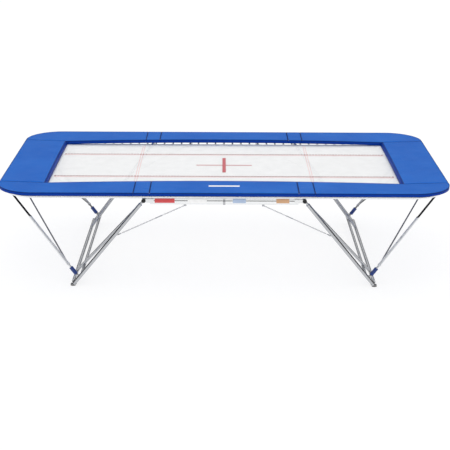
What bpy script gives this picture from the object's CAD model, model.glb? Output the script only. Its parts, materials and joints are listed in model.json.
"""A folding competition trampoline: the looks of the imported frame, in metres.

+X runs along the bed, -Y is the front, and the floor is z = 0.
"""

import json
import math

import bpy
import numpy as np
from mathutils import Matrix, Vector


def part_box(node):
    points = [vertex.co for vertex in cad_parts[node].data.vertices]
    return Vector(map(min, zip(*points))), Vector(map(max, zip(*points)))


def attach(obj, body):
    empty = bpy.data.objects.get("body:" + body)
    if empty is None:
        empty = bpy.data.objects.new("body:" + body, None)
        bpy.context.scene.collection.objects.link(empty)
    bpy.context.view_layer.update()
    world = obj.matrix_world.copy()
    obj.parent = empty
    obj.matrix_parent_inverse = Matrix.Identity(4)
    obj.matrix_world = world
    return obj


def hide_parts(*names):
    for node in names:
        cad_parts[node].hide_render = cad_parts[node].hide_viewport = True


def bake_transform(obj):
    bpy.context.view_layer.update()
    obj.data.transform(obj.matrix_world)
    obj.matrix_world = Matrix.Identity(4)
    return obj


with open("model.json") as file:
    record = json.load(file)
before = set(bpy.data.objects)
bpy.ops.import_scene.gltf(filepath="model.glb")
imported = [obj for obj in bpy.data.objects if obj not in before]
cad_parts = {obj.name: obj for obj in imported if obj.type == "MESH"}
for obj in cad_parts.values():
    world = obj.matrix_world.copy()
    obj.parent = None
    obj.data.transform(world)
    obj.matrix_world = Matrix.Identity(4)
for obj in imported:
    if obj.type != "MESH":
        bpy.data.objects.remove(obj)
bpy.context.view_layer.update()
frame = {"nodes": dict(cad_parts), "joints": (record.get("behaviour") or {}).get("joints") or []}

SIDES = {"left": -1, "right": 1}
FACES = {"front": -1, "rear": 1}
CENTRE = "centre_frame"

# ---------------------------------------------------------------- places, from the frame

RAIL_LOW, RAIL_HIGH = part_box("centre_rail_rear")
RAIL_Y = (RAIL_LOW.y + RAIL_HIGH.y) / 2
RAIL_TOP = RAIL_HIGH.z
TRUSS_LOW, TRUSS_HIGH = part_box("truss_tube_rear")
TRUSS_Z = (TRUSS_LOW.z + TRUSS_HIGH.z) / 2
BED_LOW, BED_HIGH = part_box("right_bed")
BED_X = BED_HIGH.x
BED_Y = BED_HIGH.y
BED_Z = (BED_LOW.z + BED_HIGH.z) / 2
JOINT_PLACE = {joint["name"]: joint["pos_m"] for joint in frame["joints"] if "pos_m" in joint}
FOLD_X = JOINT_PLACE["right_end_fold"][0]
PIN_X = JOINT_PLACE["right_leg_fold"][0]
PIN_Z = JOINT_PLACE["right_leg_fold"][2]
END_PAD_LOW, END_PAD_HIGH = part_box("right_end_pad")
OPENING_X = END_PAD_LOW.x
PAD_X = END_PAD_HIGH.x
OPENING_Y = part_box("centre_pad_rear")[0].y
PAD_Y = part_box("centre_pad_rear")[1].y
PAD_CORNER_R = 0.45
CHAIN_LOW_Y = 1.386
TRUSS_FLANK_R = 0.060
TRUSS_HALF_W = 0.020


# ---------------------------------------------------------------- camera

CAMERA_PLACE = Vector((-0.030, -15.114, 5.172))
CAMERA_YAW = 0.003
CAMERA_PITCH = 0.308
CAMERA_ROLL = 0.005
CAMERA_LENS = 98.8


def add_camera():
    """A long lens from the front, a little above the bed."""
    ahead = Vector((
        math.sin(CAMERA_YAW) * math.cos(CAMERA_PITCH),
        math.cos(CAMERA_YAW) * math.cos(CAMERA_PITCH),
        -math.sin(CAMERA_PITCH),
    ))
    level = Vector((math.cos(CAMERA_YAW), -math.sin(CAMERA_YAW), 0.0))
    upright = level.cross(ahead)
    right = math.cos(CAMERA_ROLL) * level + math.sin(CAMERA_ROLL) * upright
    up = math.cos(CAMERA_ROLL) * upright - math.sin(CAMERA_ROLL) * level
    data = bpy.data.cameras.new("camera")
    data.lens = CAMERA_LENS
    data.sensor_width = 36.0
    data.clip_end = 200.0
    camera = bpy.data.objects.new("camera", data)
    turn = Matrix((right, up, -ahead)).transposed().to_4x4()
    camera.matrix_world = Matrix.Translation(CAMERA_PLACE) @ turn
    bpy.context.scene.collection.objects.link(camera)
    bpy.context.scene.camera = camera


add_camera()


# ---------------------------------------------------------------- materials


class Finish:
    """A material being built, with short ways to add nodes to it and join them."""

    def __init__(self, name, roughness, metallic=0.0, **sockets):
        self.material = bpy.data.materials.new(name)
        self.material.use_nodes = True
        self.tree = self.material.node_tree
        self.shader = self.tree.nodes["Principled BSDF"]
        self.shader.inputs["Roughness"].default_value = roughness
        self.shader.inputs["Metallic"].default_value = metallic
        for socket, value in sockets.items():
            self.shader.inputs[socket.replace("_", " ")].default_value = value
        self.place = self.node("ShaderNodeTexCoord").outputs["Object"]

    def node(self, kind, **inputs):
        made = self.tree.nodes.new(kind)
        for socket, value in inputs.items():
            self.feed(value, made.inputs[socket.replace("_", " ")])
        return made

    def feed(self, value, socket):
        if isinstance(value, bpy.types.NodeSocket):
            self.tree.links.new(value, socket)
        else:
            socket.default_value = value

    def stretched(self, scale):
        """The place on the object, stretched by scale along each axis."""
        return self.node("ShaderNodeMapping", Vector=self.place, Scale=scale).outputs["Vector"]

    def noise(self, scale, detail=3.0, stretch=None):
        place = self.stretched(stretch) if stretch else self.place
        return self.node("ShaderNodeTexNoise", Vector=place, Scale=scale, Detail=detail).outputs["Fac"]

    def grain(self, scale):
        return self.node("ShaderNodeTexVoronoi", Vector=self.place, Scale=scale).outputs["Distance"]

    def maths(self, operation, first, second=0.0):
        made = self.tree.nodes.new("ShaderNodeMath")
        made.operation = operation
        self.feed(first, made.inputs[0])
        self.feed(second, made.inputs[1])
        return made.outputs[0]

    def ramp(self, factor, *stops):
        """Colours blended along factor; each stop is (place, colour)."""
        made = self.node("ShaderNodeValToRGB", Fac=factor)
        for i, (place, colour) in enumerate(stops):
            stop = made.color_ramp.elements[i] if i < 2 else made.color_ramp.elements.new(place)
            stop.position = place
            stop.color = (*colour, 1.0)
        return made.outputs["Color"]

    def mix(self, factor, first, second):
        made = self.tree.nodes.new("ShaderNodeMix")
        made.data_type = "RGBA"
        for value, socket in ((factor, made.inputs[0]), (first, made.inputs[6]), (second, made.inputs[7])):
            self.feed((*value, 1.0) if isinstance(value, tuple) else value, socket)
        return made.outputs[2]

    def colour(self, value):
        self.feed((*value, 1.0) if isinstance(value, tuple) else value, self.shader.inputs["Base Color"])
        return self

    def rough(self, factor, low, high):
        made = self.node("ShaderNodeMapRange", Value=factor, To_Min=low, To_Max=high)
        self.feed(made.outputs["Result"], self.shader.inputs["Roughness"])
        return self

    def bump(self, height, strength, distance=0.001):
        made = self.node("ShaderNodeBump", Height=height, Strength=strength, Distance=distance)
        self.feed(made.outputs["Normal"], self.shader.inputs["Normal"])
        return self


def shade(colour, amount):
    return tuple(channel * amount for channel in colour)


def steel(name, colour, roughness):
    """Zinc-plated steel: a faint crystal pattern, draw marks and handling smudges."""
    finish = Finish(name, roughness, 1.0)
    spangle = finish.ramp(finish.grain(70.0), (0.0, shade(colour, 0.95)), (0.6, colour))
    finish.colour(finish.mix(finish.noise(2.5, 4.0), spangle, shade(colour, 0.88)))
    finish.rough(finish.noise(11.0, 5.0), roughness * 0.75, roughness * 1.4)
    return finish.bump(finish.noise(35.0, 3.0), 0.008, 0.0005).material


def painted_dark(name, colour, roughness, metallic=0.3):
    finish = Finish(name, roughness, metallic)
    worn = finish.noise(40.0, 6.0)
    finish.colour(finish.ramp(worn, (0.45, colour), (0.75, shade(colour, 2.2))))
    return finish.rough(worn, roughness * 0.8, roughness * 1.3).bump(finish.noise(320.0), 0.1).material


def vinyl(name, colour, deep):
    """Coated fabric: fine leather-like grain, slow tone changes and a soft gloss."""
    finish = Finish(name, 0.42, 0.0, Specular_IOR_Level=0.07)
    tone = finish.noise(1.6, 3.0)
    finish.colour(finish.ramp(tone, (0.25, deep), (0.75, colour)))
    finish.rough(finish.noise(6.0, 4.0), 0.36, 0.52)
    grain = finish.maths("ADD", finish.grain(420.0), finish.maths("MULTIPLY", finish.noise(25.0), 0.6))
    return finish.bump(grain, 0.18, 0.0008).material


def string(name, colour):
    """Woven nylon tape: a fine rib across it and a little translucence."""
    finish = Finish(name, 0.62, 0.0, Sheen_Weight=0.25, Sheen_Roughness=0.5)
    finish.colour(finish.ramp(finish.noise(9.0, 4.0), (0.3, shade(colour, 0.94)), (0.7, colour)))
    rib = finish.node("ShaderNodeTexWave", Vector=finish.place, Scale=420.0, Distortion=1.5).outputs["Fac"]
    return finish.bump(rib, 0.25, 0.0004).material


def webbing(name, colour):
    """Heavy woven webbing with a diagonal twill."""
    finish = Finish(name, 0.7, 0.0, Sheen_Weight=0.3, Sheen_Roughness=0.5)
    place = finish.stretched((1.0, 1.0, 0.2))
    twill = finish.node("ShaderNodeTexWave", Vector=place, Scale=180.0).outputs["Fac"]
    finish.colour(finish.ramp(twill, (0.2, shade(colour, 0.88)), (0.8, colour)))
    return finish.bump(twill, 0.4, 0.0006).material


def rubber(name, colour):
    finish = Finish(name, 0.75)
    finish.colour(finish.ramp(finish.noise(30.0, 5.0), (0.4, colour), (0.8, shade(colour, 2.0))))
    return finish.bump(finish.grain(500.0), 0.3, 0.0006).material


def plastic(name, colour, roughness):
    finish = Finish(name, roughness, 0.0, Coat_Weight=0.2)
    finish.colour(finish.ramp(finish.noise(22.0, 4.0), (0.35, shade(colour, 0.92)), (0.7, colour)))
    finish.rough(finish.noise(60.0), roughness * 0.8, roughness * 1.3)
    return finish.bump(finish.grain(350.0), 0.08).material


JUNCTION_Z = 0.266          # height where the two rods of a V brace meet
BLACK_FROM_Z = 0.836        # height where the thick rod's black upper part starts
THIN_ROD_EDGE = 1.222       # distance from the middle that parts the thin rod from the thick one
THIN_ROD_SLOPE = 0.50


def brace_steel():
    """Zinc-plated rods; the thick rod's upper third and the whole thin rod are darker."""
    finish = Finish("brace_steel", 0.3, 1.0)
    split = finish.node("ShaderNodeSeparateXYZ", Vector=finish.place)
    above = finish.maths("SUBTRACT", split.outputs["Z"], BLACK_FROM_Z)
    inboard = finish.maths("SUBTRACT", THIN_ROD_EDGE, finish.maths(
        "ADD", finish.maths("ABSOLUTE", split.outputs["Y"]),
        finish.maths("MULTIPLY", finish.maths("SUBTRACT", split.outputs["Z"], JUNCTION_Z), THIN_ROD_SLOPE)))
    black = finish.maths("GREATER_THAN", above, 0.0)
    thin = finish.maths("GREATER_THAN", inboard, 0.0)
    smudge = finish.noise(14.0, 5.0)
    zinc = finish.ramp(smudge, (0.3, (0.62, 0.64, 0.67)), (0.7, (0.74, 0.75, 0.77)))
    grey = finish.ramp(smudge, (0.3, (0.20, 0.20, 0.21)), (0.7, (0.27, 0.27, 0.28)))
    ink = finish.ramp(smudge, (0.3, (0.012, 0.012, 0.014)), (0.7, (0.03, 0.03, 0.033)))
    finish.colour(finish.mix(thin, finish.mix(black, zinc, ink), grey))
    return finish.rough(smudge, 0.22, 0.42).material


STEEL = steel("zinc_steel", (0.53, 0.54, 0.56), 0.20)
STEEL_BRIGHT = steel("bright_zinc_steel", (0.86, 0.87, 0.88), 0.26)
STEEL_TRUSS = steel("polished_zinc_steel", (0.90, 0.91, 0.92), 0.10)
STEEL_BRACE = brace_steel()
STEEL_SPRING = steel("spring_steel", (0.075, 0.078, 0.085), 0.34)
STEEL_HOOK = steel("hook_steel", (0.34, 0.35, 0.37), 0.30)
STEEL_CHAIN = steel("chain_steel", (0.52, 0.53, 0.55), 0.28)
STEEL_WELD = steel("weld_bead", (0.52, 0.53, 0.55), 0.42)
BLACK = painted_dark("black_fastener", (0.010, 0.010, 0.011), 0.38)
RUBBER = rubber("foot_rubber", (0.13, 0.13, 0.13))
SLEEVE = plastic("blue_sleeve", (0.001, 0.030, 0.190), 0.45)
VINYL = vinyl("pad_vinyl", (0.008, 0.132, 0.540), (0.001, 0.098, 0.470))
VINYL_EDGE = vinyl("pad_edge_vinyl", (0.001, 0.042, 0.330), (0.001, 0.032, 0.270))
PIPING = vinyl("pad_piping", (0.004, 0.026, 0.150), (0.003, 0.020, 0.120))
WHITE_STRING = string("white_string", (0.93, 0.935, 0.94))
RED_STRING = string("red_string", (0.22, 0.006, 0.012))
PINK_STRING = string("pink_string", (0.86, 0.50, 0.50))
RED_WEBBING = webbing("red_webbing", (0.52, 0.030, 0.050))
WHITE_WEBBING = webbing("white_webbing", (0.90, 0.91, 0.92))
EDGE_ROPE = rubber("edge_rope", (0.005, 0.005, 0.006))
WHITE_PRINT = plastic("white_print", (0.90, 0.90, 0.90), 0.5)
RED_LABEL = plastic("red_label", (0.62, 0.055, 0.060), 0.4)
BLUE_LABEL = plastic("blue_label", (0.42, 0.52, 0.70), 0.4)
TAN_LABEL = plastic("tan_label", (0.62, 0.36, 0.20), 0.4)

CAD_FINISHES = (
    ("brace_bracket", STEEL), ("brace_pin", STEEL), ("brace", STEEL_BRACE), ("sleeve", SLEEVE),
    ("rail", STEEL_BRIGHT), ("truss_tube", STEEL_TRUSS), ("pivot_brackets", STEEL_BRIGHT),
    ("feet", RUBBER), ("spring_hooks", STEEL_HOOK), ("springs", STEEL_SPRING), ("hinge_pins", BLACK),
    ("bolts", BLACK), ("chains", STEEL_CHAIN), ("pad", VINYL), ("bed", WHITE_STRING), ("", STEEL),
)


def paint_cad_nodes():
    for name, node in frame["nodes"].items():
        finish = next(finish for part, finish in CAD_FINISHES if part in name)
        for slot in node.material_slots:
            slot.material = finish


paint_cad_nodes()


# ---------------------------------------------------------------- shapes


class Shape:
    """Points and faces gathered from many small shapes into one mesh."""

    def __init__(self):
        self.points = []
        self.faces = []
        self.slots = []
        self.count = 0

    def add(self, part, slots=0):
        """Add a part; slots is one material slot, or one for each of its blocks of faces."""
        points, blocks = part
        self.points.append(points)
        for block, slot in zip(blocks, np.broadcast_to(slots, len(blocks)).tolist()):
            self.faces.extend((block + self.count).tolist())
            self.slots.extend([slot] * len(block))
        self.count += len(points)

    def build(self, name, body, materials, slot, smooth=True):
        """The finished object, riding on a body."""
        mesh = bpy.data.meshes.new(name)
        mesh.from_pydata(np.concatenate(self.points).tolist(), [], self.faces)
        for material in materials:
            mesh.materials.append(material)
        mesh.polygons.foreach_set("material_index", self.slots)
        mesh.polygons.foreach_set("use_smooth", [smooth] * len(self.faces))
        mesh.update()
        piece = bpy.data.objects.new(name, mesh)
        bpy.context.scene.collection.objects.link(piece)
        if body:
            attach(piece, body)
        return piece


def grid_faces(rows, columns, wrap=False):
    """Quads between rows of points; wrap joins each row's last point to its first."""
    last = columns if wrap else columns - 1
    row, column = np.meshgrid(np.arange(rows - 1), np.arange(last), indexing="ij")
    row, column = row.ravel(), column.ravel()
    beside = (column + 1) % columns
    return np.stack([row * columns + column, row * columns + beside,
                     (row + 1) * columns + beside, (row + 1) * columns + column], axis=1)


def sweep(path, radius, sides=8, closed=False):
    """A round bar along a path; radius is one number, or one for each point."""
    path = np.asarray(path, float)
    sizes = np.broadcast_to(radius, len(path))
    ahead = np.roll(path, -1, 0) - np.roll(path, 1, 0) if closed else np.gradient(path, axis=0)
    ahead = ahead / np.linalg.norm(ahead, axis=1)[:, None]
    side = np.cross(ahead[0], (0.0, 0.0, 1.0))
    if np.linalg.norm(side) < 0.1:
        side = np.cross(ahead[0], (0.0, 1.0, 0.0))
    turn = np.linspace(0, 2 * math.pi, sides, endpoint=False)[:, None]
    rings = []
    for point, direction, size in zip(path, ahead, sizes):
        side = side - direction * side.dot(direction)
        side = side / np.linalg.norm(side)
        rings.append(point + size * (np.cos(turn) * side + np.sin(turn) * np.cross(direction, side)))
    points = np.concatenate(rings)
    quads = grid_faces(len(path), sides, wrap=True)
    if not closed:
        first = np.arange(sides)[::-1][None]
        return points, [quads, first, first[:, ::-1] + (len(path) - 1) * sides]
    seam = grid_faces(2, sides, wrap=True)
    seam = np.where(seam < sides, seam + (len(path) - 1) * sides, seam - sides)
    return points, [quads, seam]


def lathe(profile, sides=32):
    """A shape turned about Z from (radius, height) points, closed at both ends."""
    turn = np.linspace(0, 2 * math.pi, sides, endpoint=False)
    rings = [np.stack([r * np.cos(turn), r * np.sin(turn), np.full(sides, z)], axis=1) for r, z in profile]
    first = np.arange(sides)[::-1][None]
    last = first[:, ::-1] + (len(profile) - 1) * sides
    return np.concatenate(rings), [grid_faces(len(profile), sides, wrap=True), first, last]


def moved(part, turn=None, shift=(0.0, 0.0, 0.0)):
    """A part turned by a 3 x 3 matrix, then shifted."""
    points, blocks = part
    if turn is not None:
        points = points @ np.array(turn, float).T
        if np.linalg.det(np.array(turn, float)) < 0:
            blocks = [block[:, ::-1] for block in blocks]
    return points + np.array(shift, float), blocks


def facing(direction, roll_from=(0.0, 0.0, 1.0)):
    """The turn that takes +Z to a direction."""
    ahead = np.array(direction, float) / np.linalg.norm(direction)
    side = np.cross(roll_from, ahead)
    if np.linalg.norm(side) < 0.05:
        side = np.cross((1.0, 0.0, 0.0), ahead)
    side = side / np.linalg.norm(side)
    return np.stack([side, np.cross(ahead, side), ahead], axis=1)


def along(direction):
    """The turn that takes +X to a direction, keeping +Z as upright as it can be."""
    ahead = np.array(direction, float) / np.linalg.norm(direction)
    side = np.cross((0.0, 0.0, 1.0), ahead)
    side = side / np.linalg.norm(side)
    return np.stack([ahead, side, np.cross(ahead, side)], axis=1)


def merged(parts):
    """Several parts as one."""
    points, blocks, count = [], [], 0
    for part_points, part_blocks in parts:
        points.append(part_points)
        blocks += [block + count for block in part_blocks]
        count += len(part_points)
    return np.concatenate(points), blocks


def arc(centre, radius, start, end, count, plane="xy"):
    """Points on an arc; angles in degrees."""
    angle = np.radians(np.linspace(start, end, count))
    flat = {"xy": (0, 1), "xz": (0, 2), "yz": (1, 2)}[plane]
    points = np.tile(np.array(centre, float), (count, 1))
    points[:, flat[0]] += radius * np.cos(angle)
    points[:, flat[1]] += radius * np.sin(angle)
    return points


# ---------------------------------------------------------------- bed

STRING_COUNT = 171          # strings across the bed, and along each half of it
STRING_W = 0.0096
WEAVE_H = 0.0011
BORDER_W = 0.062
ROPE_R = 0.0055
ZONE_Y = 0.54
ZONE_X = 1.075
CROSS_HALF = 0.35
WHITE_SLOT, RED_SLOT, PINK_SLOT = 0, 1, 2
LONG_LINE = {2: RED_SLOT, 1: RED_SLOT, 0: RED_SLOT, -1: PINK_SLOT, -2: PINK_SLOT, -3: PINK_SLOT}
CROSS_LINE = {-1: PINK_SLOT, 1: PINK_SLOT}


def string_slot(place, zone, line):
    """Which colour a string is, from how many strings it lies beyond a zone line."""
    pitch = 2 * BED_Y / STRING_COUNT
    return line.get(round((place - math.copysign(zone, place)) / pitch), WHITE_SLOT)


def bed_half(side, x_side):
    """One half of the woven bed: flat strings that pass over and under each other."""
    along_x = (np.arange(STRING_COUNT) + 0.5) * BED_X / STRING_COUNT * x_side
    across_y = (np.arange(STRING_COUNT) + 0.5) * 2 * BED_Y / STRING_COUNT - BED_Y
    weave = Shape()
    count = np.arange(STRING_COUNT)
    colours = [string_slot(y, ZONE_Y, LONG_LINE) for y in across_y]
    upper = np.add.outer(count, count) % 2 == 0
    upper[:, np.array(colours) == RED_SLOT] = (count % 3 != 1)[:, None]
    over = np.where(upper, WEAVE_H, -WEAVE_H)
    quads = grid_faces(STRING_COUNT, 2)
    long_quads = grid_faces(STRING_COUNT + 1, 2)
    if x_side < 0:
        quads, long_quads = quads[:, ::-1], long_quads[:, ::-1]
    for j, y in enumerate(across_y):
        points = np.empty((STRING_COUNT + 1, 2, 3))
        points[:, :, 0] = np.concatenate([[0.0], along_x])[:, None]
        points[:, :, 1] = y + np.array([-STRING_W, STRING_W]) / 2
        points[:, :, 2] = BED_Z + np.concatenate([[0.0], over[:, j]])[:, None]
        weave.add((points.reshape(-1, 3), [long_quads[:, ::-1]]), colours[j])
    for i, x in enumerate(along_x):
        points = np.empty((STRING_COUNT, 2, 3))
        points[:, :, 0] = x + np.array([-STRING_W, STRING_W]) * x_side / 2
        points[:, :, 1] = across_y[:, None]
        points[:, :, 2] = (BED_Z - over[i, :])[:, None]
        weave.add((points.reshape(-1, 3), [quads]), string_slot(x, ZONE_X, CROSS_LINE))
    strings = [WHITE_STRING, RED_STRING, PINK_STRING]
    piece = weave.build(f"{side}_bed_weave", None, strings, "bed_webbing", False)
    border = bed_border(side, x_side)
    rope = edge_rope(side, x_side)
    for half in (piece, border, rope):
        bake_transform(half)
    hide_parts(f"{side}_bed")


def strip(x0, x1, y0, y1, z, thickness, step=0.05):
    """A flat band of webbing with real thickness, cut into short lengths along X."""
    count = max(2, int(abs(x1 - x0) / step) + 1)
    xs = np.linspace(x0, x1, count)
    section = np.array([(y0, z), (y1, z), (y1, z + thickness), (y0, z + thickness)])
    points = np.concatenate([np.column_stack([np.full(4, x), section]) for x in xs])
    quads = grid_faces(count, 4, wrap=True)
    first = np.array([[3, 2, 1, 0]])
    blocks = [quads, first, first[:, ::-1] + (count - 1) * 4]
    return (points, blocks) if x1 > x0 else (points, [block[:, ::-1] for block in blocks])


def bed_border(side, x_side):
    """The doubled webbing sewn round the edge of the weave, just inside the edge rope."""
    band = Shape()
    edge = BED_Y - ROPE_R
    inner = BED_Y - BORDER_W
    end = x_side * (BED_X - ROPE_R)
    for y_side in FACES.values():
        low, high = sorted((y_side * inner, y_side * edge))
        band.add(strip(0.0, end, low, high, BED_Z + 0.0015, 0.0022))
        band.add(strip(0.0, end, low, high, BED_Z - 0.0037, 0.0022))
    for z in (BED_Z + 0.0016, BED_Z - 0.0038):
        band.add(strip(x_side * (BED_X - BORDER_W), end, -inner, inner, z, 0.0022))
    return band.build(f"{side}_bed_border", None, [WHITE_WEBBING], "bed_webbing", False)


def edge_rope(side, x_side):
    """The dark rope along the bed's edge that the spring rings hook round."""
    rope = Shape()
    count = 80
    run = np.linspace(0.0, 1.0, count)
    corner = 0.012
    long_run = [((BED_X - corner) * t, -BED_Y) for t in run]
    bend = arc((BED_X - corner, -BED_Y + corner, 0), corner, -80, -10, 5)[:, :2].tolist()
    end_run = [(BED_X, (BED_Y - corner) * (2 * t - 1)) for t in run]
    path = np.array(long_run + bend + end_run + [(x, -y) for x, y in (long_run + bend)[::-1]])
    points = np.column_stack([path[:, 0] * x_side, path[:, 1], np.full(len(path), BED_Z + 0.001)])
    rope.add(sweep(points, ROPE_R, 8))
    return rope.build(f"{side}_edge_rope", None, [EDGE_ROPE], "bed_webbing")


def centre_cross():
    """The red cross sewn on the middle of the bed."""
    cross = Shape()
    z = BED_Z + WEAVE_H + 0.0006
    cross.add(strip(-CROSS_HALF, CROSS_HALF, -0.010, 0.010, z, 0.0016))
    cross.add(strip(-0.021, 0.021, -CROSS_HALF, CROSS_HALF, z + 0.0018, 0.0016, 0.02))
    piece = cross.build("bed_cross", CENTRE, [RED_WEBBING], "bed_webbing", False)
    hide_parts("centre_bed")


for side_name, x_sign in SIDES.items():
    bed_half(side_name, x_sign)
centre_cross()


# ---------------------------------------------------------------- springs

SPRING_Z = sum(corner.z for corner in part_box("centre_springs")) / 2
SPRING_R = 0.0078
SPRING_WIRE = 0.0015
SPRING_TURNS = 40
COIL_START = 0.052
COIL_INSET = 0.026
HOOK_PIN_Y = RAIL_LOW.y - 0.012
HOOK_PIN_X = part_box("right_spring_hooks")[1].x - 0.026
SIDE_PITCH = 0.1145
SIDE_SPRINGS = 18
END_PITCH = 0.100
END_SPRINGS = 10


def spring_template(length):
    """A tension spring from the bed's edge (x = 0) to its hook pin (x = length)."""
    end = length - COIL_INSET
    turn = np.linspace(0, 2 * math.pi * SPRING_TURNS, SPRING_TURNS * 8 + 1)
    coil = np.column_stack([
        np.linspace(COIL_START, end, len(turn)), SPRING_R * np.sin(turn), SPRING_R * np.cos(turn)])
    inner_loop = arc((COIL_START - 0.010, 0, 0), 0.0075, 60, 300, 9, "xz")
    outer_loop = arc((length, 0, 0), 0.0062, 120, -120, 9, "xy")
    neck = np.array([(end + 0.006, 0.0, 0.0), (end + 0.012, 0.0, 0.0)])
    parts = [sweep(coil, SPRING_WIRE, 4), sweep(inner_loop, SPRING_WIRE, 5),
             sweep(np.concatenate([coil[-1:], neck, outer_loop]), SPRING_WIRE, 5)]
    return merged(parts)


def ring_template():
    """The triangular ring whose short side hooks round the edge rope."""
    half, reach, radius = 0.014, 0.036, 0.004
    path = np.concatenate([
        arc((-0.003, half, 0), radius, 90, 180, 4), arc((-0.003, -half, 0), radius, 180, 270, 4),
        arc((reach, 0, 0), radius, -50, 50, 5)])
    return sweep(path, 0.0019, 6, closed=True)


def spring_places(body):
    """(place of the bed's edge, direction outwards, length) of each spring on one frame section."""
    side_x = [i * SIDE_PITCH for i in range(-SIDE_SPRINGS, SIDE_SPRINGS + 1)]
    places = []
    for y_side in FACES.values():
        for x in side_x:
            section = CENTRE if abs(x) < FOLD_X else "right_end_frame" if x > 0 else "left_end_frame"
            if section == body:
                places.append(((x, y_side * BED_Y, SPRING_Z), (0, y_side, 0), HOOK_PIN_Y - BED_Y))
    if body != CENTRE:
        x_side = SIDES[body.split("_")[0]]
        for i in range(-END_SPRINGS, END_SPRINGS + 1):
            places.append(((x_side * BED_X, i * END_PITCH, SPRING_Z), (x_side, 0, 0), HOOK_PIN_X - BED_X))
    return places


def add_springs(body, node):
    """The coils and edge rings of one frame section."""
    coils, rings = Shape(), Shape()
    ring = ring_template()
    for place, direction, length in spring_places(body):
        turn = along(direction)
        coils.add(moved(spring_template(length), turn, place))
        rings.add(moved(ring, turn, np.array(place) + (0, 0, BED_Z + 0.0065 - SPRING_Z)))
    prefix = node.replace("_springs", "")
    coil_piece = coils.build(f"{prefix}_spring_coils", body, [STEEL_SPRING], "spring_steel")
    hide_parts(node)
    rings.build(f"{prefix}_edge_rings", body, [STEEL_HOOK], "hook_steel")


add_springs(CENTRE, "centre_springs")
for side_name in SIDES:
    add_springs(f"{side_name}_end_frame", f"{side_name}_springs")


# ---------------------------------------------------------------- pads

PAD_EDGE_TOP = 1.226        # height of the pads' outer top edge
PAD_INNER_LOW = 1.209       # height of the inner top edge at the opening's corners
PAD_INNER_RISE = 0.028      # how far the long inner edge bows up at mid-length
PAD_BASE = RAIL_TOP + 0.0012
HINGE_PAD_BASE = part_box("hinge_pins")[1].z + 0.0065
SKIRT_OUT = 1.190           # lower edge of the outer skirt
SKIRT_IN_DEEP = 0.042       # how far the inner skirt hangs below the pad's top edge
END_SKIRT_LEAN = 0.028      # how far an end pad's inner skirt leans over the bed
SEAM_GAP = 0.003            # how far each pad's end is drawn in at a seam
PIPING_R = 0.0041
PAD_MARK = {"place": (0.0, 1.255), "half_size": (0.18, 0.030)}     # the plain bar on the front pad
PAD_STEP = 0.024
PUFF_LIMIT = 0.006
PUFF_FRAMES = 16


def outer_y(x):
    """Half width of the pads' outline at x, with its rounded corners."""
    past = np.clip(np.abs(x) - (PAD_X - PAD_CORNER_R), 0, PAD_CORNER_R)
    return PAD_Y - PAD_CORNER_R + np.sqrt(PAD_CORNER_R ** 2 - past ** 2)


def inner_height(x):
    """Height of the pads' inner top edge at x, along a long side."""
    within = PAD_INNER_LOW + PAD_INNER_RISE * (1 - np.clip(np.abs(x) / OPENING_X, 0, 1) ** 2)
    beyond = np.clip((np.abs(x) - OPENING_X) / (PAD_X - OPENING_X), 0, 1)
    return within + beyond * (PAD_EDGE_TOP - PAD_INNER_LOW)


def side_pad_surface(x0, x1):
    """Top points of a pad on a long side, from the outline (row 0) to the opening."""
    rows = int((PAD_Y - OPENING_Y) / PAD_STEP)
    columns = int(abs(x1 - x0) / PAD_STEP)
    spread = np.linspace(0, 1, columns + 1)
    if abs(x1) > PAD_X - PAD_CORNER_R:
        spread = np.sin(spread * math.pi / 2) ** 0.9
    x = x0 + (x1 - x0) * spread
    v = np.linspace(0, 1, rows + 1)
    inner = OPENING_Y + 0.001
    y = outer_y(x)[None] * (1 - v[:, None]) + inner * v[:, None]
    z = PAD_EDGE_TOP * (1 - v[:, None]) + inner_height(x)[None] * v[:, None]
    return np.stack(np.broadcast_arrays(x[None], y, z), axis=2)


def end_pad_surface():
    """Top points of an end pad, from the outer edge (row 0) to the opening."""
    rows = int((PAD_X - OPENING_X) / PAD_STEP)
    columns = int(2 * OPENING_Y / PAD_STEP)
    y = np.linspace(OPENING_Y - 0.001, -OPENING_Y + 0.001, columns + 1)
    v = np.linspace(0, 1, rows + 1)[:, None]
    x = PAD_X + (OPENING_X - PAD_X) * v
    inner = PAD_INNER_LOW + 0.010 * (1 - (y / OPENING_Y) ** 2)
    z = PAD_EDGE_TOP * (1 - v) + inner[None] * v
    return np.stack(np.broadcast_arrays(x, y[None], z), axis=2)


def closed_pad(surface, base):
    """A closed block under a grid of top points: its top, bottom and wall faces, and its rim."""
    rows, columns = surface.shape[:2]
    top = surface.reshape(-1, 3)
    bottom = top.copy()
    bottom[:, 2] = base
    index = np.arange(rows * columns).reshape(rows, columns)
    rim = np.concatenate([index[0, :-1], index[:-1, -1], index[-1, :0:-1], index[:0:-1, 0]])
    layers = [rim]
    rings = []
    for share in (0.33, 0.67):
        ring = top[rim].copy()
        ring[:, 2] = ring[:, 2] * (1 - share) + base * share
        layers.append(np.arange(len(rim)) + 2 * len(top) + len(rim) * len(rings))
        rings.append(ring)
    layers.append(rim + len(top))
    walls = [np.stack([upper, np.roll(upper, -1), np.roll(lower, -1), lower], axis=1)
             for upper, lower in zip(layers, layers[1:])]
    quads = grid_faces(rows, columns)
    points = np.concatenate([top, bottom, *rings])
    return (points, [quads[:, ::-1], quads + len(top), np.concatenate(walls)]), rim


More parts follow.
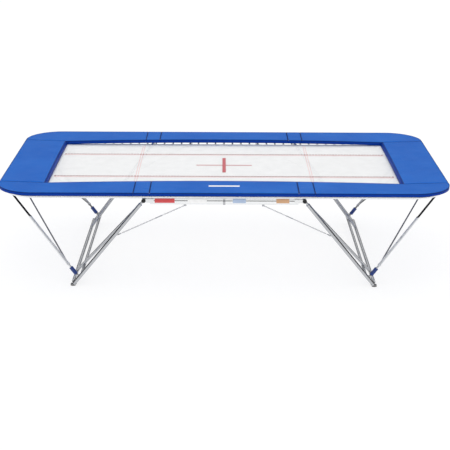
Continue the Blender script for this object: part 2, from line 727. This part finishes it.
def puffed(piece, top_count, rim):
    """The pad's top filled by a short cloth simulation, held along its seams."""
    mesh = piece.data
    before = np.empty(len(mesh.vertices) * 3)
    mesh.vertices.foreach_get("co", before)
    before = before.reshape(-1, 3)
    held = np.ones(len(mesh.vertices), bool)
    held[:top_count] = False
    held[rim] = True
    group = piece.vertex_groups.new(name="held")
    group.add(np.flatnonzero(held).tolist(), 1.0, "REPLACE")
    cloth = piece.modifiers.new("cloth", "CLOTH")
    settings = cloth.settings
    settings.vertex_group_mass = "held"
    settings.effector_weights.gravity = 0.0
    settings.use_pressure = True
    settings.uniform_pressure_force = 2.5
    settings.shrink_min = -0.012
    settings.quality = 5
    scene = bpy.context.scene
    cloth.point_cache.frame_start = 1
    cloth.point_cache.frame_end = PUFF_FRAMES
    for number in range(1, PUFF_FRAMES + 1):
        scene.frame_set(number)
    shown = piece.evaluated_get(bpy.context.evaluated_depsgraph_get())
    after = np.empty(len(mesh.vertices) * 3)
    shown.data.vertices.foreach_get("co", after)
    after = after.reshape(-1, 3)
    piece.modifiers.remove(cloth)
    piece.vertex_groups.clear()
    scene.frame_set(1)
    move = after - before
    length = np.linalg.norm(move, axis=1)[:, None]
    limited = move * PUFF_LIMIT * np.tanh(length / PUFF_LIMIT) / np.maximum(length, 1e-9)
    mesh.vertices.foreach_set("co", (before + limited).ravel())
    mesh.update()


def soften(piece):
    """Rounded seams."""
    bevel = piece.modifiers.new("round", "BEVEL")
    bevel.width = 0.007
    bevel.segments = 3
    bevel.limit_method = "ANGLE"
    bevel.angle_limit = math.radians(50)
    for polygon in piece.data.polygons:
        polygon.use_smooth = True


def skirt(edge, low, lean=0.0):
    """A thin flap that hangs from a line of (x, y, z) points down to a height, leaning to its outside."""
    path = edge[:, :2]
    ahead = np.gradient(path, axis=0)
    ahead = ahead / np.linalg.norm(ahead, axis=1)[:, None]
    out = np.column_stack([-ahead[:, 1], ahead[:, 0]])
    reach = SEAM_GAP + 0.0009
    path = np.concatenate([path[:1] - ahead[:1] * reach, path[1:-1], path[-1:] + ahead[-1:] * reach])
    top = edge[:, 2] - 0.004
    section = []
    for shift, height in ((0.0, top), (0.0016, top), (0.0016 + lean, low), (lean, low)):
        section.append(np.column_stack([path + out * shift, np.broadcast_to(height, len(path))]))
    points = np.stack(section, axis=1).reshape(-1, 3)
    first = np.array([[0, 1, 2, 3]])
    return points, [grid_faces(len(path), 4, wrap=True)[:, ::-1], first, first[:, ::-1] + (len(path) - 1) * 4]


def add_pad(name, body, surface, turn, base=PAD_BASE, lean=0.0, mark=None, nodes=()):
    """One pad with its piping and skirts, drawn for the right-hand rear and mirrored by turn."""
    (points, (top, bottom, walls)), rim = closed_pad(surface, base)
    marked = np.zeros(len(top), bool)
    if mark:
        middle = points[top].mean(axis=1)
        marked = (np.abs(middle[:, :2] - mark["place"]) < mark["half_size"]).all(axis=1)
    part = points, [top[~marked], top[marked], bottom, walls]
    pad = Shape()
    pad.add(moved(part, turn), [0, 2, 0, 1])
    piece = pad.build(name, body, [VINYL, VINYL_EDGE, WHITE_PRINT], "pad_vinyl")
    puffed(piece, surface[..., 0].size, rim)
    soften(piece)
    trim = Shape()
    edge = surface.reshape(-1, 3)[rim] + (0, 0, -0.0020)
    trim.add(moved(sweep(edge, PIPING_R, 6, closed=True), turn), 0)
    outer, inner = surface[0], surface[-1][::-1]
    trim.add(moved(skirt(outer, SKIRT_OUT), turn), 1)
    trim.add(moved(skirt(inner, inner[:, 2] - SKIRT_IN_DEEP, lean), turn), 1)
    trim.build(f"{name}_piping", body, [PIPING, VINYL_EDGE], "pad_vinyl")
    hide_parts(*nodes)
    return piece


def add_pads():
    inner_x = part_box("centre_pad_rear")[1].x - SEAM_GAP
    hinge_x0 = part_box("right_hinge_pads")[0].x + SEAM_GAP
    hinge_x1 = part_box("right_hinge_pads")[1].x - SEAM_GAP
    side_x0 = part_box("right_side_pad_rear")[0].x + SEAM_GAP
    for face, y_side in FACES.items():
        add_pad(f"centre_{face}_cushion", CENTRE, side_pad_surface(-inner_x, inner_x),
                np.diag([1.0, y_side, 1.0]), nodes=[f"centre_pad_{face}"],
                mark=PAD_MARK if face == "front" else None)
    for side, x_side in SIDES.items():
        body = f"{side}_end_frame"
        add_pad(f"{side}_end_cushion", body, end_pad_surface(), np.diag([x_side, 1.0, 1.0]),
                lean=END_SKIRT_LEAN, nodes=[f"{side}_end_pad"])
        for face, y_side in FACES.items():
            turn = np.diag([x_side, y_side, 1.0])
            add_pad(f"{side}_{face}_cushion", body, side_pad_surface(side_x0, PAD_X - 0.0005), turn,
                    nodes=[f"{side}_side_pad_{face}"])
            short = add_pad(f"{side}_{face}_hinge_cushion", None, side_pad_surface(hinge_x0, hinge_x1), turn,
                            base=HINGE_PAD_BASE, nodes=[f"{side}_hinge_pads"])
            bend_over_hinge(short)
            bend_over_hinge(bpy.data.objects[f"{short.name}_piping"])


def bend_over_hinge(piece):
    """Fix the piece's modifiers and let it bend between the centre and an end frame."""
    for modifier in list(piece.modifiers):
        bpy.context.view_layer.objects.active = piece
        bpy.ops.object.modifier_apply(modifier=modifier.name)
    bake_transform(piece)


add_pads()


# ---------------------------------------------------------------- stay chains

CHAIN_WIRE = 0.0021
LINK_PITCH = 0.0195
LINK_HALF_W = 0.0050
TURNBUCKLE_FROM, TURNBUCKLE_TO = 0.54, 0.68     # shares of the chain's length, from the leg
CHAIN_EYE_X, CHAIN_EYE_Z = 0.450, 1.072         # the bore of the eye under the truss tube
SHACKLE_REACH = 0.038


def link_template():
    """One oval chain link along X, in the XY plane."""
    reach = LINK_PITCH / 2 - LINK_HALF_W + CHAIN_WIRE
    path = np.concatenate([
        arc((reach, 0, 0), LINK_HALF_W, -90, 90, 6), arc((-reach, 0, 0), LINK_HALF_W, 90, 270, 6)])
    return sweep(path, CHAIN_WIRE, 6, closed=True)


def turnbuckle(start, end):
    """An open-body turnbuckle along X with an eye at each end."""
    half = (end - start) / 2
    middle = (start + end) / 2
    body = half * 0.55
    parts = []
    for y in (-0.010, 0.010):
        bar = [(-body, y * 0.6, 0), (-body + 0.008, y, 0), (body - 0.008, y, 0), (body, y * 0.6, 0)]
        parts.append(sweep(bar, 0.0040, 8))
    for x_side in (-1, 1):
        collar = lathe([(0.0065, 0.0), (0.0075, 0.002), (0.0075, 0.010), (0.0065, 0.012)], 12)
        parts.append(moved(collar, facing((1, 0, 0)), (x_side * body - 0.006, 0, 0)))
        parts.append(sweep([(x_side * body * 0.4, 0, 0), (x_side * (half - 0.014), 0, 0)], 0.0034, 8))
        parts.append(sweep(arc((x_side * (half - 0.008), 0, 0), 0.007, 0, 345, 14), 0.0026, 6, closed=True))
    return moved(merged(parts), None, (middle, 0, 0))


def add_chain(side, x_side, face, y_side):
    """Links, a turnbuckle and a shackle between the truss tube's eye and the leg's eye."""
    low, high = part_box(f"{side}_stay_chains")
    far_x = max(abs(low.x), abs(high.x)) - 0.003
    start = np.array([x_side * far_x, y_side * CHAIN_LOW_Y, low.z + 0.004])
    end = np.array([x_side * CHAIN_EYE_X, y_side * RAIL_Y, CHAIN_EYE_Z])
    length = np.linalg.norm(end - start)
    turn = along(end - start)
    buckle = (TURNBUCKLE_FROM * length, TURNBUCKLE_TO * length)
    link = link_template()
    crossed = moved(link, [(1, 0, 0), (0, 0, -1), (0, 1, 0)])
    chain = Shape()
    places = np.arange(length - LINK_PITCH / 2 - CHAIN_WIRE, SHACKLE_REACH, -LINK_PITCH)
    for i, x in enumerate(places):
        if not buckle[0] - 0.004 < x < buckle[1] + 0.004:
            chain.add(moved(crossed if i % 2 else link, turn, start + turn @ (x, 0, 0)))
    chain.add(moved(turnbuckle(*buckle), turn, start))
    bow = np.concatenate([
        [(0.002, -0.011, 0)], arc((SHACKLE_REACH - 0.014, 0, 0), 0.014, -80, 80, 9), [(0.002, 0.011, 0)]])
    chain.add(moved(sweep(bow, 0.0040, 8), turn, start))
    pin = lathe([(0.0035, -0.014), (0.0035, 0.012), (0.0065, 0.012), (0.0065, 0.016)], 10)
    chain.add(moved(pin, turn @ facing((0, 1, 0)), start + turn @ (0.004, 0, 0)))
    piece = chain.build(f"{side}_{face}_chain", None, [STEEL_CHAIN], "chain_steel")
    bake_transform(piece)
    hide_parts(f"{side}_stay_chains")


# ---------------------------------------------------------------- hardware

LEG_TOP = np.array([PIN_X, RAIL_Y, PIN_Z])
FOOT_R = 0.031
FOOT = (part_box("right_feet")[0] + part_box("right_feet")[1]) / 2
LEG_FOOT = np.array([FOOT.x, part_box("right_feet")[1].y - FOOT_R, 0.0])
LEG_AXIS = (LEG_FOOT - LEG_TOP) / np.linalg.norm(LEG_FOOT - LEG_TOP)
LEG_R = 0.0225
STRUT_R = 0.019
STRUT_MEETS_LEG = 0.084     # how far below the pivot the strut joins the leg
FLOOR_TUBE_Z = 0.046
CROSS_LOW, CROSS_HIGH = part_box("right_cross_tube")
CROSS_X = (CROSS_LOW.x + CROSS_HIGH.x) / 2
CROSS_Z = (CROSS_LOW.z + CROSS_HIGH.z) / 2
FLOOR_X = (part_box("right_floor_tube")[0].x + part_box("right_floor_tube")[1].x) / 2
STRUT_FOOT = np.array([FLOOR_X + 0.005, 0.880, FLOOR_TUBE_Z])
STEM = np.array([0.595, 0.0, 0.804])            # direction of a brace's stem
STUB_PIN = np.array([1.750, 1.235, 0.125])      # the pin on a leg stand that a brace rests on
SLEEVE_START = 0.018                            # distance from the stub pin up to the sleeve
SLEEVE_LENGTH = 0.104
SLEEVE_BORE_R = 0.0126
SLEEVE_RIBS = 7
SLEEVE_RIB_PITCH = 0.0115
KNOB_T = 0.010                                  # thickness of a leg pivot's domed head
BRACKET_INNER = 0.026                           # from the rail's middle in to a bracket's inner face


def seam(base, axis, radius, other, other_axis, other_radius, bead=0.0026, count=40):
    """The weld bead where a tube runs into another one: both are round bars without end."""
    axis = np.array(axis, float) / np.linalg.norm(axis)
    other_axis = np.array(other_axis, float) / np.linalg.norm(other_axis)
    side, up, _ = facing(axis).T
    path = []
    for turn in np.linspace(0, 2 * math.pi, count, endpoint=False):
        ripple = 1 + 0.012 * math.sin(9 * turn)
        start = np.array(base) + radius * ripple * (side * math.cos(turn) + up * math.sin(turn))
        gap = start - other
        gap = gap - other_axis * gap.dot(other_axis)
        slope = axis - other_axis * axis.dot(other_axis)
        a, b, c = slope.dot(slope), 2 * gap.dot(slope), gap.dot(gap) - other_radius ** 2
        inside = b * b - 4 * a * c
        reach = (-b + math.sqrt(max(inside, 0.0))) / (2 * a)
        path.append(start + axis * reach)
    return sweep(path, bead, 6, closed=True)


def stand_welds():
    """Weld beads of one half of a leg stand, drawn for the right-hand rear."""
    strut_axis = LEG_TOP + LEG_AXIS * STRUT_MEETS_LEG - STRUT_FOOT
    across_y = np.array([0.0, 1.0, 0.0])
    floor_point = np.array([FLOOR_X, 0.0, FLOOR_TUBE_Z])
    cross_point = np.array([CROSS_X, 0.0, CROSS_Z])
    beads = [
        seam(STRUT_FOOT, strut_axis, STRUT_R, floor_point, across_y, LEG_R),
        seam(LEG_FOOT, -LEG_AXIS, LEG_R, floor_point, across_y, LEG_R * 0.98),
        seam(cross_point, -across_y, STRUT_R, LEG_FOOT, LEG_AXIS, LEG_R),
    ]
    return merged(beads)


def add_stand_details():
    """The weld beads of both leg stands."""
    welds = stand_welds()
    for side, x_side in SIDES.items():
        beads = Shape()
        for y_side in FACES.values():
            beads.add(moved(welds, np.diag([x_side, y_side, 1.0])))
        beads.build(f"{side}_stand_welds", f"{side}_leg_stand", [STEEL_WELD], "frame_steel")


def add_pivot_bolts():
    """Domed bolt heads and hex nuts at the leg pivots."""
    bolts = Shape()
    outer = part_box("leg_pivot_bolts")[1].y - KNOB_T
    inner = RAIL_Y - BRACKET_INNER
    dome = lathe([(0.020, -0.0002), (0.0245, 0.001), (0.025, 0.004), (0.0235, 0.0065), (0.018, 0.0085),
                  (0.0100, 0.0095), (0.0100, 0.0075), (0.0010, 0.0075)], 40)
    nut = lathe([(0.0100, 0.0), (0.0120, 0.0012), (0.0120, 0.0065), (0.0104, 0.0080)], 6)
    shank = lathe([(0.0069, 0.0), (0.0069, outer - inner + 0.0005)], 20)
    for x_side in SIDES.values():
        for y_side in FACES.values():
            turn = np.diag([x_side, y_side, 1.0])
            bolts.add(moved(moved(dome, facing((0, 1, 0)), (PIN_X, outer, PIN_Z)), turn))
            bolts.add(moved(moved(nut, facing((0, -1, 0)), (PIN_X, inner, PIN_Z)), turn))
            bolts.add(moved(moved(shank, facing((0, 1, 0)), (PIN_X, inner, PIN_Z)), turn))
    piece = bolts.build("pivot_bolts", CENTRE, [BLACK], "dark_fastener")
    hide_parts("leg_pivot_bolts")


def add_sleeves():
    """The blue locking sleeves: moulded grips with ribs and rolled lips."""
    profile = [(SLEEVE_BORE_R, 0.0), (0.0205, 0.0), (0.0245, 0.0025), (0.0250, 0.006), (0.0238, 0.010)]
    for i in range(SLEEVE_RIBS):
        z = 0.016 + i * SLEEVE_RIB_PITCH
        profile += [(0.0232, z), (0.0243, z + 0.002), (0.0243, z + 0.005), (0.0232, z + 0.007)]
    profile += [(0.0238, SLEEVE_LENGTH - 0.008), (0.0250, SLEEVE_LENGTH - 0.005),
                (0.0245, SLEEVE_LENGTH - 0.002), (0.0215, SLEEVE_LENGTH), (SLEEVE_BORE_R, SLEEVE_LENGTH)]
    grip = lathe(profile, 36)
    for side, x_side in SIDES.items():
        for face, y_side in FACES.items():
            shape = Shape()
            place = STUB_PIN + STEM * SLEEVE_START
            shape.add(moved(moved(grip, facing(STEM), place), np.diag([x_side, y_side, 1.0])))
            body = f"{side}_{face}_sleeve_body"
            piece = shape.build(f"{side}_{face}_grip", body, [SLEEVE], "sleeve_plastic")
            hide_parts(f"{side}_{face}_sleeve")


def add_labels():
    """Plain coloured labels on the front truss tube, with nothing written on them."""
    for name, x0, x1, material in (
        ("red", -0.80, -0.57, RED_LABEL), ("white", -0.42, -0.20, WHITE_PRINT),
        ("pale", 0.10, 0.25, BLUE_LABEL), ("tan", 0.60, 0.75, TAN_LABEL),
    ):
        label = Shape()
        height = np.linspace(TRUSS_Z - 0.014, TRUSS_HIGH.z - 0.003, 8)
        flank = np.sqrt(TRUSS_FLANK_R ** 2 - (height - TRUSS_Z) ** 2) - TRUSS_FLANK_R + TRUSS_HALF_W + 0.0006
        points = np.array([(x, -RAIL_Y - y, z) for x in (x0, x1) for y, z in zip(flank, height)])
        label.add((points, [grid_faces(2, 8)[:, ::-1]]))
        label.build(f"truss_label_{name}", CENTRE, [material], "frame_steel")


for side_name, x_sign in SIDES.items():
    for face_name, y_sign in FACES.items():
        add_chain(side_name, x_sign, face_name, y_sign)
add_stand_details()
add_pivot_bolts()
add_sleeves()
add_labels()


# ---------------------------------------------------------------- light and floor

WORLD_LIGHT = 1.0
FLOOR_HALF = 60.0
FLOOR_Z = -0.001


def add_floor():
    """A white floor that glows a little, so that the shadows on it stay light."""
    corners = [(x * FLOOR_HALF, y * FLOOR_HALF, FLOOR_Z) for x, y in ((-1, -1), (1, -1), (1, 1), (-1, 1))]
    finish = Finish("studio_floor", 0.9, 0.0, Specular_IOR_Level=0.0, Emission_Strength=0.76)
    finish.shader.inputs["Emission Color"].default_value = (1.0, 1.0, 1.0, 1.0)
    finish.colour(finish.ramp(finish.noise(0.4), (0.3, (0.27, 0.27, 0.27)), (0.7, (0.28, 0.28, 0.28))))
    mesh = bpy.data.meshes.new("studio_floor")
    mesh.from_pydata(corners, [], [(0, 1, 2, 3)])
    mesh.materials.append(finish.material)
    piece = bpy.data.objects.new("studio_floor", mesh)
    bpy.context.scene.collection.objects.link(piece)


def add_world():
    """White all round; reflections also see a dark band above the horizon, higher at the sides."""
    world = bpy.data.worlds.new("studio")
    bpy.context.scene.world = world
    world.use_nodes = True
    tree = world.node_tree
    background = tree.nodes["Background"]

    def maths(operation, first, second):
        made = tree.nodes.new("ShaderNodeMath")
        made.operation = operation
        for value, socket in ((first, made.inputs[0]), (second, made.inputs[1])):
            if isinstance(value, bpy.types.NodeSocket):
                tree.links.new(value, socket)
            else:
                socket.default_value = value
        return made.outputs[0]

    split = tree.nodes.new("ShaderNodeSeparateXYZ")
    tree.links.new(tree.nodes.new("ShaderNodeTexCoord").outputs["Generated"], split.inputs[0])
    sideways = maths("MULTIPLY", split.outputs["X"], split.outputs["X"])
    height = maths("SUBTRACT", split.outputs["Z"], maths("MULTIPLY", sideways, 0.26))
    ramp = tree.nodes.new("ShaderNodeValToRGB")
    tree.links.new(height, ramp.inputs["Fac"])
    for i, (place, level) in enumerate(((0.0, 0.02), (0.20, 0.05), (0.27, 0.9), (1.0, 1.0))):
        stop = ramp.color_ramp.elements[i] if i < 2 else ramp.color_ramp.elements.new(place)
        stop.position = place
        stop.color = (level, level, level, 1.0)
    mix = tree.nodes.new("ShaderNodeMix")
    mix.data_type = "RGBA"
    tree.links.new(tree.nodes.new("ShaderNodeLightPath").outputs["Is Glossy Ray"], mix.inputs[0])
    mix.inputs[6].default_value = (1.0, 1.0, 1.0, 1.0)
    tree.links.new(ramp.outputs["Color"], mix.inputs[7])
    tree.links.new(mix.outputs[2], background.inputs["Color"])
    background.inputs["Strength"].default_value = WORLD_LIGHT


def add_area(name, place, target, size, power):
    """A soft rectangular light turned towards a target."""
    light = bpy.data.lights.new(name, "AREA")
    light.shape = "RECTANGLE"
    light.size, light.size_y = size
    light.energy = power
    lamp = bpy.data.objects.new(name, light)
    lamp.location = place
    lamp.rotation_euler = (Vector(target) - Vector(place)).to_track_quat("-Z", "Y").to_euler()
    bpy.context.scene.collection.objects.link(lamp)


add_floor()
add_world()
add_area("key", (-3.0, -5.0, 7.5), (0, 0, 1), (7.0, 4.0), 60.0)
add_area("top", (1.5, 2.0, 8.0), (0, 0, 1), (8.0, 6.0), 40.0)
bpy.context.scene.view_settings.view_transform = "Standard"
